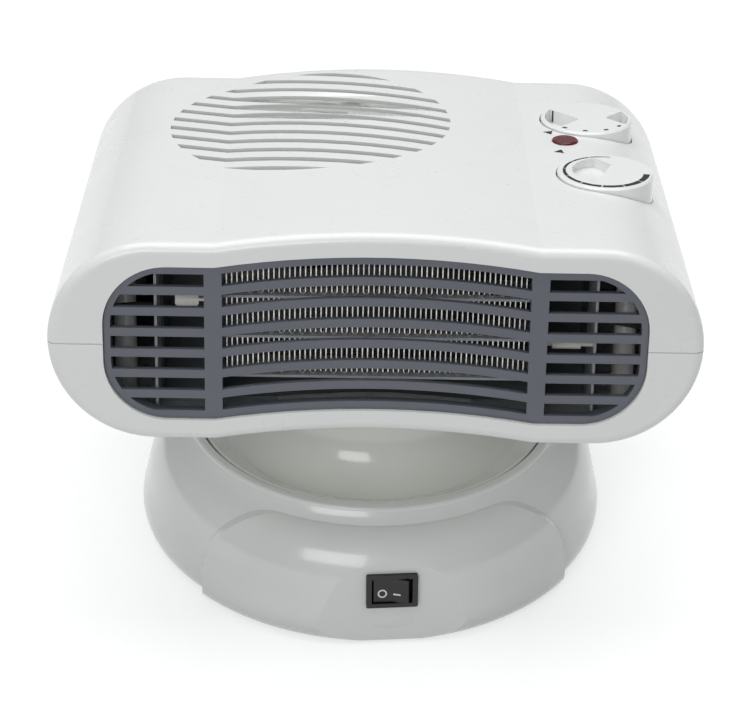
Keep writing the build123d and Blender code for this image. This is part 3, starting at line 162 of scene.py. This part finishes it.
class Nodes:
    """Short calls for building one material's nodes. Scales are in repeats per metre."""

    def __init__(self, name):
        self.material = bpy.data.materials.new(name)
        self.material.use_nodes = True
        self.tree = self.material.node_tree
        self.shader = self.tree.nodes["Principled BSDF"]
        self.place = self.tree.nodes.new("ShaderNodeTexCoord").outputs["Object"]

    def link(self, output, target):
        """Joins an output to an input."""
        self.tree.links.new(output, target)

    def stretched(self, scale):
        """The place, stretched by a different factor along each axis."""
        node = self.tree.nodes.new("ShaderNodeMapping")
        node.inputs["Scale"].default_value = scale
        self.link(self.place, node.inputs["Vector"])
        return node.outputs["Vector"]

    def noise(self, scale, detail=3.0, roughness=0.5, vector=None):
        """Cloudy pattern."""
        node = self.tree.nodes.new("ShaderNodeTexNoise")
        node.inputs["Scale"].default_value = scale
        node.inputs["Detail"].default_value = detail
        node.inputs["Roughness"].default_value = roughness
        self.link(vector or self.place, node.inputs["Vector"])
        return node.outputs["Fac"]

    def cells(self, scale):
        """Pattern of small cells, darkest in their middles."""
        node = self.tree.nodes.new("ShaderNodeTexVoronoi")
        node.inputs["Scale"].default_value = scale
        self.link(self.place, node.inputs["Vector"])
        return node.outputs["Distance"]

    def bands(self, scale, axis, distortion):
        """Straight bands along an axis, slightly bent."""
        node = self.tree.nodes.new("ShaderNodeTexWave")
        node.bands_direction = axis
        node.inputs["Scale"].default_value = scale
        node.inputs["Distortion"].default_value = distortion
        self.link(self.place, node.inputs["Vector"])
        return node.outputs["Fac"]

    def spread(self, value, low, high, start=0.3, end=0.7):
        """A value mapped from start and end to low and high."""
        node = self.tree.nodes.new("ShaderNodeMapRange")
        limits = {"From Min": start, "From Max": end, "To Min": low, "To Max": high}
        for name, number in limits.items():
            node.inputs[name].default_value = number
        self.link(value, node.inputs["Value"])
        return node.outputs["Result"]

    def blend(self, factor, first, second):
        """One colour turning into another."""
        node = self.tree.nodes.new("ShaderNodeMix")
        node.data_type = "RGBA"
        self.link(factor, node.inputs[0])
        for socket, colour in ((node.inputs[6], first), (node.inputs[7], second)):
            if isinstance(colour, tuple):
                socket.default_value = colour
            else:
                self.link(colour, socket)
        return node.outputs[2]

    def bump(self, height, strength, distance, under=None):
        """Fine relief, on top of a coarser one if that is given."""
        node = self.tree.nodes.new("ShaderNodeBump")
        node.inputs["Strength"].default_value = strength
        node.inputs["Distance"].default_value = distance
        self.link(height, node.inputs["Height"])
        if under is not None:
            self.link(under, node.inputs["Normal"])
        return node.outputs["Normal"]

    def finish(self, colour, roughness, normal, **constants):
        """The material with its colour, roughness and relief, and constants by input name."""
        self.link(colour, self.shader.inputs["Base Color"])
        self.link(roughness, self.shader.inputs["Roughness"])
        self.link(normal, self.shader.inputs["Normal"])
        for name, value in constants.items():
            self.shader.inputs[name.replace("_", " ")].default_value = value
        return self.material


def moulded(name, colour, roughness, coat=0.0, texture=0.12, mottle=0.025):
    """Moulded plastic: faint flow marks in the colour, uneven gloss and a fine skin."""
    nodes = Nodes(name)
    flow = nodes.noise(22.0, 4.0, 0.55)
    haze = nodes.noise(90.0, 5.0, 0.6)
    dark, pale = shade(colour, 1 - mottle), shade(colour, 1 + mottle / 2)
    tone = nodes.blend(nodes.spread(flow, 0.0, 1.0), dark, pale)
    rough = nodes.spread(haze, roughness * 0.85, roughness * 1.2)
    waves = nodes.bump(nodes.noise(55.0, 2.0, 0.4), 0.004, MOULD_WAVE)
    normal = nodes.bump(nodes.noise(1800.0, 2.0, 0.5), texture, MOULD_SKIN, waves)
    return nodes.finish(tone, rough, normal, Coat_Weight=coat, Coat_Roughness=0.07, IOR=1.5)


def metal(name, colour, roughness, streak=(1.0, 1.0, 60.0)):
    """Bright metal with fine drawn streaks and a slightly uneven tone."""
    nodes = Nodes(name)
    lines = nodes.noise(220.0, 4.0, 0.6, nodes.stretched(streak))
    clouds = nodes.noise(60.0, 4.0, 0.55)
    tone = nodes.blend(nodes.spread(clouds, 0.0, 1.0), shade(colour, 0.88), shade(colour, 1.04))
    rough = nodes.spread(lines, roughness * 0.75, roughness * 1.35)
    normal = nodes.bump(lines, 0.12, METAL_SKIN)
    return nodes.finish(tone, rough, normal, Metallic=1.0)


def heated_ribbon():
    """Resistance ribbon: bright alloy with straw and blue-grey heat tints."""
    nodes = Nodes("ribbon_alloy")
    tints = nodes.noise(70.0, 4.0, 0.6)
    warm = nodes.blend(nodes.spread(tints, 0.0, 1.0), srgb(214, 214, 212), srgb(232, 229, 221))
    cool = nodes.spread(nodes.noise(160.0, 3.0), 0.0, 0.5, 0.45, 0.75)
    tone = nodes.blend(cool, warm, srgb(150, 156, 166))
    rough = nodes.spread(nodes.noise(900.0, 3.0), 0.2, 0.42)
    normal = nodes.bump(nodes.noise(1400.0, 3.0), 0.2, METAL_SKIN)
    return nodes.finish(tone, rough, normal, Metallic=1.0)


def mica(name, colour):
    """Mica board: pale layered sheet with flakes and a dull sheen."""
    nodes = Nodes(name)
    flakes = nodes.cells(700.0)
    clouds = nodes.noise(120.0, 5.0, 0.6)
    base = nodes.blend(nodes.spread(clouds, 0.0, 1.0), shade(colour, 0.84), shade(colour, 1.06))
    tone = nodes.blend(nodes.spread(flakes, 0.35, 0.0, 0.1, 0.5), base, shade(colour, 0.7))
    rough = nodes.spread(flakes, 0.32, 0.6, 0.0, 0.8)
    normal = nodes.bump(flakes, 0.25, DULL_SKIN)
    return nodes.finish(tone, rough, normal)


def rubber(name, colour):
    """Soft dull rubber with a dusty tone."""
    nodes = Nodes(name)
    dust = nodes.noise(300.0, 5.0, 0.65)
    tone = nodes.blend(nodes.spread(dust, 0.0, 1.0), colour, shade(colour, 1.7))
    rough = nodes.spread(dust, 0.62, 0.85)
    normal = nodes.bump(nodes.noise(1500.0, 3.0), 0.3, DULL_SKIN)
    return nodes.finish(tone, rough, normal)


def ceramic(name, colour):
    """Glazed ceramic with faint specks under the glaze."""
    nodes = Nodes(name)
    specks = nodes.noise(900.0, 2.0)
    tone = nodes.blend(nodes.spread(specks, 0.0, 1.0, 0.62, 0.72), colour, shade(colour, 0.72))
    rough = nodes.spread(nodes.noise(80.0, 3.0), 0.12, 0.25)
    normal = nodes.bump(nodes.noise(260.0, 3.0), 0.08, GLAZE_RELIEF)
    return nodes.finish(tone, rough, normal, Coat_Weight=0.4, Coat_Roughness=0.05)


def winding():
    """Varnished copper wire laid side by side, with painted shade in the grooves between the wires."""
    nodes = Nodes("copper_winding")
    wires = nodes.bands(420.0, "X", 0.4)
    # Painted shade: the copper turns dark brown where the wire bands dip, in the grooves between the
    # wires
    tone = nodes.blend(nodes.spread(wires, 0.0, 1.0, 0.1, 0.9), srgb(92, 44, 22), srgb(186, 104, 58))
    rough = nodes.spread(nodes.noise(200.0, 3.0), 0.22, 0.4)
    normal = nodes.bump(wires, 0.5, WIRE_RELIEF)
    return nodes.finish(tone, rough, normal, Metallic=0.7, Coat_Weight=0.5)


def laminated(name, colour):
    """Stamped sheets of steel stacked up, seen as fine layers along the height."""
    nodes = Nodes(name)
    sheets = nodes.bands(320.0, "Z", 0.3)
    stains = nodes.noise(90.0, 5.0, 0.6)
    tone = nodes.blend(nodes.spread(stains, 0.0, 1.0), shade(colour, 0.7), colour)
    rough = nodes.spread(sheets, 0.35, 0.55)
    normal = nodes.bump(sheets, 0.3, LAYER_RELIEF)
    return nodes.finish(tone, rough, normal, Metallic=1.0)


def lens():
    """Dark red lens with a cut pattern."""
    nodes = Nodes("lamp_lens_red")
    pattern = nodes.cells(900.0)
    tone = nodes.blend(nodes.spread(pattern, 0.0, 1.0, 0.1, 0.6), srgb(138, 20, 34), srgb(84, 8, 18))
    rough = nodes.spread(nodes.noise(200.0, 2.0), 0.06, 0.12)
    normal = nodes.bump(pattern, 0.25, GLAZE_RELIEF)
    return nodes.finish(
        tone, rough, normal, Transmission_Weight=0.15, IOR=1.4, Coat_Weight=0.3, Coat_Roughness=0.03
    )


def bulb_glass():
    """Thin glass of the lamp's bulb."""
    nodes = Nodes("bulb_glass_clear")
    film = nodes.noise(150.0, 3.0)
    tone = nodes.blend(nodes.spread(film, 0.0, 1.0), srgb(250, 214, 190), srgb(255, 236, 222))
    rough = nodes.spread(film, 0.02, 0.09)
    normal = nodes.bump(film, 0.05, GLAZE_RELIEF)
    return nodes.finish(tone, rough, normal, Transmission_Weight=0.9, IOR=1.45)


head_white = moulded("head_gloss_white", srgb(233, 234, 231), 0.3, coat=0.3, texture=0.05, mottle=0.012)
knob_white = moulded("knob_gloss_white", srgb(236, 237, 235), 0.24, coat=0.35)
stand_white = moulded("stand_gloss_white", srgb(222, 224, 220), 0.2, coat=0.5)
turntable_white = moulded("turntable_gloss_white", srgb(222, 223, 216), 0.16, coat=0.6)
grille_slate = moulded("grille_satin_slate", srgb(99, 103, 110), 0.4, texture=0.3, mottle=0.05)
board_grey = mica("mica_board_grey", srgb(178, 182, 186))
ribbon_alloy = heated_ribbon()
ceramic_white = ceramic("glazed_ceramic_white", srgb(222, 220, 212))
guide_grey = moulded("guide_matt_grey", srgb(88, 90, 93), 0.65, texture=0.35, mottle=0.06)
fan_grey = moulded("fan_matt_grey", srgb(70, 71, 73), 0.7, texture=0.3, mottle=0.08)
motor_sheets = laminated("motor_sheet_stack", srgb(150, 152, 156))
plated_steel = metal("plated_steel", srgb(190, 191, 194), 0.32)
screw_steel = metal("screw_zinc", srgb(198, 198, 196), 0.28, streak=(1.0, 1.0, 1.0))
bronze = metal("bush_bronze", srgb(176, 138, 84), 0.4, streak=(1.0, 1.0, 1.0))
copper = winding()
control_black = moulded("control_moulded_black", srgb(36, 36, 38), 0.45, texture=0.3, mottle=0.15)
nylon = moulded("natural_nylon", srgb(216, 214, 203), 0.42, texture=0.2, mottle=0.03)
lens_red = lens()
glass = bulb_glass()
lead_black = rubber("lead_sleeve_black", srgb(26, 26, 27))
foot_rubber = rubber("foot_rubber_grey", srgb(62, 62, 63))
switch_black = moulded("switch_gloss_black", srgb(16, 16, 18), 0.35, coat=0.0, mottle=0.2)
plate_grey = moulded("plate_matt_grey", srgb(196, 198, 195), 0.5, texture=0.35, mottle=0.04)
ink_black = moulded("printed_ink_black", srgb(17, 17, 19), 0.35, texture=0.4, mottle=0.25)
ink_white = moulded("printed_ink_white", srgb(226, 228, 230), 0.4, texture=0.4, mottle=0.05)

FINISHES = {
    head_white: ("upper_housing", "lower_housing"),
    knob_white: ("thermostat_knob", "selector_knob"),
    stand_white: ("base_shell",),
    turntable_white: ("turntable",),
    grille_slate: ("front_grille",),
    board_grey: ("heater_frame",),
    ribbon_alloy: ("upper_ribbon", "middle_ribbon", "lower_ribbon"),
    ceramic_white: ("thermal_cutout", "thermal_fuse"),
    guide_grey: ("air_guide",),
    fan_grey: ("fan_wheel",),
    motor_sheets: ("motor_stack", "motor_rotor"),
    plated_steel: ("upper_motor_bracket", "lower_motor_bracket", "drive_motor"),
    screw_steel: (
        "housing_screws", "air_guide_screws", "motor_screws", "neck_screws", "sector_screws",
        "shaft_clip", "base_screws", "drive_screws",
    ),
    bronze: ("motor_bushes",),
    copper: ("motor_coil",),
    control_black: ("thermostat_body", "selector_body", "lamp_socket"),
    nylon: (
        "gear_sector", "thermostat_spindle", "selector_spindle", "drive_pinion", "glide_ring",
        "terminal_block",
    ),
    lens_red: ("lamp_lens",),
    glass: ("lamp_bulb",),
    lead_black: ("left_heater_lead", "right_heater_lead", "riser_cable"),
    foot_rubber: ("rubber_feet",),
    switch_black: ("switch_housing", "switch_rocker"),
    plate_grey: ("base_plate", "cord_bush"),
}
for material, names in FINISHES.items():
    for name in names:
        node = NODES[name]
        for slot in node.material_slots:
            slot.material = material
        if not node.material_slots:
            node.data.materials.append(material)


# Printed marks: thin plates that lie on what they are printed on

def plate(name, faces, place, material, body):
    """Thin closed plates from flat faces in millimetres, sunk a little into what they lie on."""
    mesh = bmesh.new()
    for face in faces:
        corners = [place @ Vector((x * MM, y * MM, -INK_SUNK * MM)) for x, y in face]
        mesh.faces.new([mesh.verts.new(corner) for corner in corners])
    bmesh.ops.remove_doubles(mesh, verts=mesh.verts, dist=INK_MERGE * MM)
    raised = bmesh.ops.extrude_face_region(mesh, geom=list(mesh.faces))["geom"]
    rise = place.to_3x3() @ Vector((0, 0, (INK + INK_SUNK) * MM))
    bmesh.ops.translate(mesh, vec=rise, verts=[v for v in raised if isinstance(v, bmesh.types.BMVert)])
    bmesh.ops.recalc_face_normals(mesh, faces=mesh.faces)
    data = bpy.data.meshes.new(name)
    mesh.to_mesh(data)
    mesh.free()
    data.materials.append(material)
    piece = bpy.data.objects.new(name, data)
    bpy.context.scene.collection.objects.link(piece)
    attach(piece, body)


def polar(radius, angle):
    """The point at a radius and an angle in degrees."""
    return (radius * math.cos(math.radians(angle)), radius * math.sin(math.radians(angle)))


def band(start, end, radius, start_width, end_width, steps=BAND_STEPS):
    """A curved band, as a row of four-sided faces, whose width grows along it."""
    inner, outer = [], []
    for i in range(steps + 1):
        share = i / steps
        angle = start + (end - start) * share
        half = (start_width + (end_width - start_width) * share) / 2
        inner.append(polar(radius - half, angle))
        outer.append(polar(radius + half, angle))
    return [(inner[i], outer[i], outer[i + 1], inner[i + 1]) for i in range(steps)]


def rectangle(x, y, width, height):
    """A four-sided face round a place."""
    sides = ((-1, -1), (1, -1), (1, 1), (-1, 1))
    return tuple((x + across * width / 2, y + along * height / 2) for across, along in sides)


def thermostat_scale():
    """Ring of segments that grow thicker towards the hot end."""
    segment_turn = (SCALE_END - SCALE_START) / SCALE_SEGMENTS
    growth = (SCALE_THICK - SCALE_THIN) / (SCALE_END - SCALE_START)
    faces = []
    for number in range(SCALE_SEGMENTS):
        begin = SCALE_START + number * segment_turn + SCALE_GAP / 2
        stop = SCALE_START + (number + 1) * segment_turn - SCALE_GAP / 2
        widths = [SCALE_THIN + growth * (angle - SCALE_START) for angle in (begin, stop)]
        faces += band(begin, stop, SCALE_RADIUS, *widths)
    place = head_at(*THERMOSTAT, KNOB_TOP)
    plate("thermostat_scale", faces, place, ink_black, "thermostat_control")


def selector_marks():
    """One short mark for each position of the selector."""
    faces = []
    for angle in MARK_ANGLES:
        begin, stop = angle - MARK_TURN / 2, angle + MARK_TURN / 2
        faces += band(begin, stop, MARK_RADIUS, MARK_WIDTH, MARK_WIDTH, MARK_STEPS)
    place = head_at(*SELECTOR, KNOB_TOP)
    plate("selector_marks", faces, place, ink_black, "selector_control")


def selector_index():
    """Upright line on a side wall of the selector's left scoop."""
    middle = head_at(
        SELECTOR[0] - SCOOP_TIP - INDEX_OUT, SELECTOR[1] + SCOOP_SHIFT + INDEX_OUT,
        KNOB_TOP - SCOOP_DEPTH / 2,
    )
    turn = Matrix.Rotation(math.radians(INDEX_TURN), 4, "Z")
    upright = Matrix.Rotation(math.radians(90), 4, "X")
    line = rectangle(0, 0, INDEX_WIDTH, INDEX_HEIGHT_SHARE * SCOOP_DEPTH)
    place = middle @ turn @ upright
    plate("selector_index", [line], place, ink_black, "selector_control")


def pointers():
    """A triangle on the housing beside each knob."""
    for name, x, y, heading in POINTERS:
        corners = tuple(polar(POINTER_RADIUS, heading + turn) for turn in (0, 120, 240))
        plate(name, [corners], head_at(x, y, HALF_HEIGHT), ink_black, "head")


def rocker_marks():
    """The plain O and I of a switch, each on its own half of the rocker."""
    left, front = RING_PLACE
    ring = band(0, 360, RING_RADIUS, RING_WIDTH, RING_WIDTH, RING_STEPS)
    ring_place = ROCKER_FRAME @ Matrix.Translation((left * MM, front * MM, ROCKER_FACE * MM))
    plate("rocker_ring_mark", ring, ring_place, ink_white, "rocker")
    raised_half = ROCKER_FRAME @ Matrix.Rotation(math.radians(-ROCKER_TRAVEL), 4, "Y")
    raised_face = ROCKER_FACE * math.cos(math.radians(ROCKER_TRAVEL))
    bar_place = raised_half @ Matrix.Translation((0, 0, raised_face * MM))
    bar = rectangle(*BAR_PLACE, *BAR_SIZE)
    plate("rocker_bar_mark", [bar], bar_place, ink_white, "rocker")


thermostat_scale()
selector_marks()
selector_index()
pointers()
rocker_marks()


# Floor, backdrop, lights and camera

def stage_floor():
    """Pale floor that looks white to the camera and in reflections, yet takes soft shadows."""
    data = bpy.data.meshes.new("studio_floor")
    mesh = bmesh.new()
    bmesh.ops.create_circle(mesh, cap_ends=True, segments=FLOOR_SEGMENTS, radius=FLOOR_RADIUS)
    mesh.to_mesh(data)
    mesh.free()
    floor = bpy.data.objects.new("studio_floor", data)
    bpy.context.scene.collection.objects.link(floor)
    material = bpy.data.materials.new("studio_floor_white")
    material.use_nodes = True
    tree = material.node_tree
    tree.nodes.clear()
    out = tree.nodes.new("ShaderNodeOutputMaterial")
    add = tree.nodes.new("ShaderNodeAddShader")
    diffuse = tree.nodes.new("ShaderNodeBsdfDiffuse")
    glow = tree.nodes.new("ShaderNodeEmission")
    path = tree.nodes.new("ShaderNodeLightPath")
    seen = tree.nodes.new("ShaderNodeMath")
    seen.operation = "MAXIMUM"
    seen_through = tree.nodes.new("ShaderNodeMath")
    seen_through.operation = "MAXIMUM"
    level = tree.nodes.new("ShaderNodeMath")
    level.operation = "MULTIPLY"
    diffuse.inputs["Color"].default_value = FLOOR_GREY
    level.inputs[1].default_value = FLOOR_GLOW
    tree.links.new(path.outputs["Is Camera Ray"], seen.inputs[0])
    tree.links.new(path.outputs["Is Glossy Ray"], seen.inputs[1])
    tree.links.new(seen.outputs[0], seen_through.inputs[0])
    tree.links.new(path.outputs["Is Transmission Ray"], seen_through.inputs[1])
    tree.links.new(seen_through.outputs[0], level.inputs[0])
    tree.links.new(level.outputs[0], glow.inputs["Strength"])
    tree.links.new(diffuse.outputs[0], add.inputs[0])
    tree.links.new(glow.outputs[0], add.inputs[1])
    tree.links.new(add.outputs[0], out.inputs["Surface"])
    data.materials.append(material)


def softbox(name, place, size, power):
    """Soft rectangular light, aimed at the heater."""
    data = bpy.data.lights.new(name, "AREA")
    data.shape = "RECTANGLE"
    data.size, data.size_y = size
    data.energy = power
    light = bpy.data.objects.new(name, data)
    bpy.context.scene.collection.objects.link(light)
    light.location = place
    light.rotation_euler = (Vector(LIGHT_TARGET) - Vector(place)).to_track_quat("-Z", "Y").to_euler()


def studio_world():
    """Soft bluish light from all round, behind a background that the camera sees as white."""
    world = bpy.data.worlds.new("studio_world")
    world.use_nodes = True
    bpy.context.scene.world = world
    tree = world.node_tree
    tree.nodes.clear()
    out = tree.nodes.new("ShaderNodeOutputWorld")
    mix = tree.nodes.new("ShaderNodeMixShader")
    around = tree.nodes.new("ShaderNodeBackground")
    seen = tree.nodes.new("ShaderNodeBackground")
    path = tree.nodes.new("ShaderNodeLightPath")
    around.inputs["Color"].default_value = SKY_COLOUR
    around.inputs["Strength"].default_value = SKY_STRENGTH
    seen.inputs["Color"].default_value = SEEN_COLOUR
    seen.inputs["Strength"].default_value = 1.0
    tree.links.new(path.outputs["Is Camera Ray"], mix.inputs[0])
    tree.links.new(around.outputs[0], mix.inputs[1])
    tree.links.new(seen.outputs[0], mix.inputs[2])
    tree.links.new(mix.outputs[0], out.inputs["Surface"])


def photo_camera():
    """Camera where the photograph was taken from, turned about its own line of sight."""
    place = Vector((CAMERA_SIDE, AXIS_Y * MM - CAMERA_BEFORE, CAMERA_HEIGHT))
    target = Vector((TARGET_SIDE, AXIS_Y * MM, TARGET_HEIGHT))
    data = bpy.data.cameras.new("photo_camera")
    data.lens = CAMERA_LENS
    data.sensor_width = CAMERA_SENSOR
    data.dof.use_dof = False
    data.clip_start = CAMERA_CLIP
    camera = bpy.data.objects.new("photo_camera", data)
    bpy.context.scene.collection.objects.link(camera)
    forward = (target - place).normalized()
    level_right = forward.cross(Vector((0, 0, 1))).normalized()
    level_up = level_right.cross(forward)
    roll = math.radians(CAMERA_ROLL)
    right = level_right * math.cos(roll) + level_up * math.sin(roll)
    up = right.cross(forward)
    turn = Matrix((right, up, -forward)).transposed().to_4x4()
    camera.matrix_world = Matrix.Translation(place) @ turn
    bpy.context.scene.camera = camera


stage_floor()
studio_world()
for values in SOFTBOXES:
    softbox(*values)
photo_camera()
bpy.context.scene.view_settings.view_transform = "Standard"
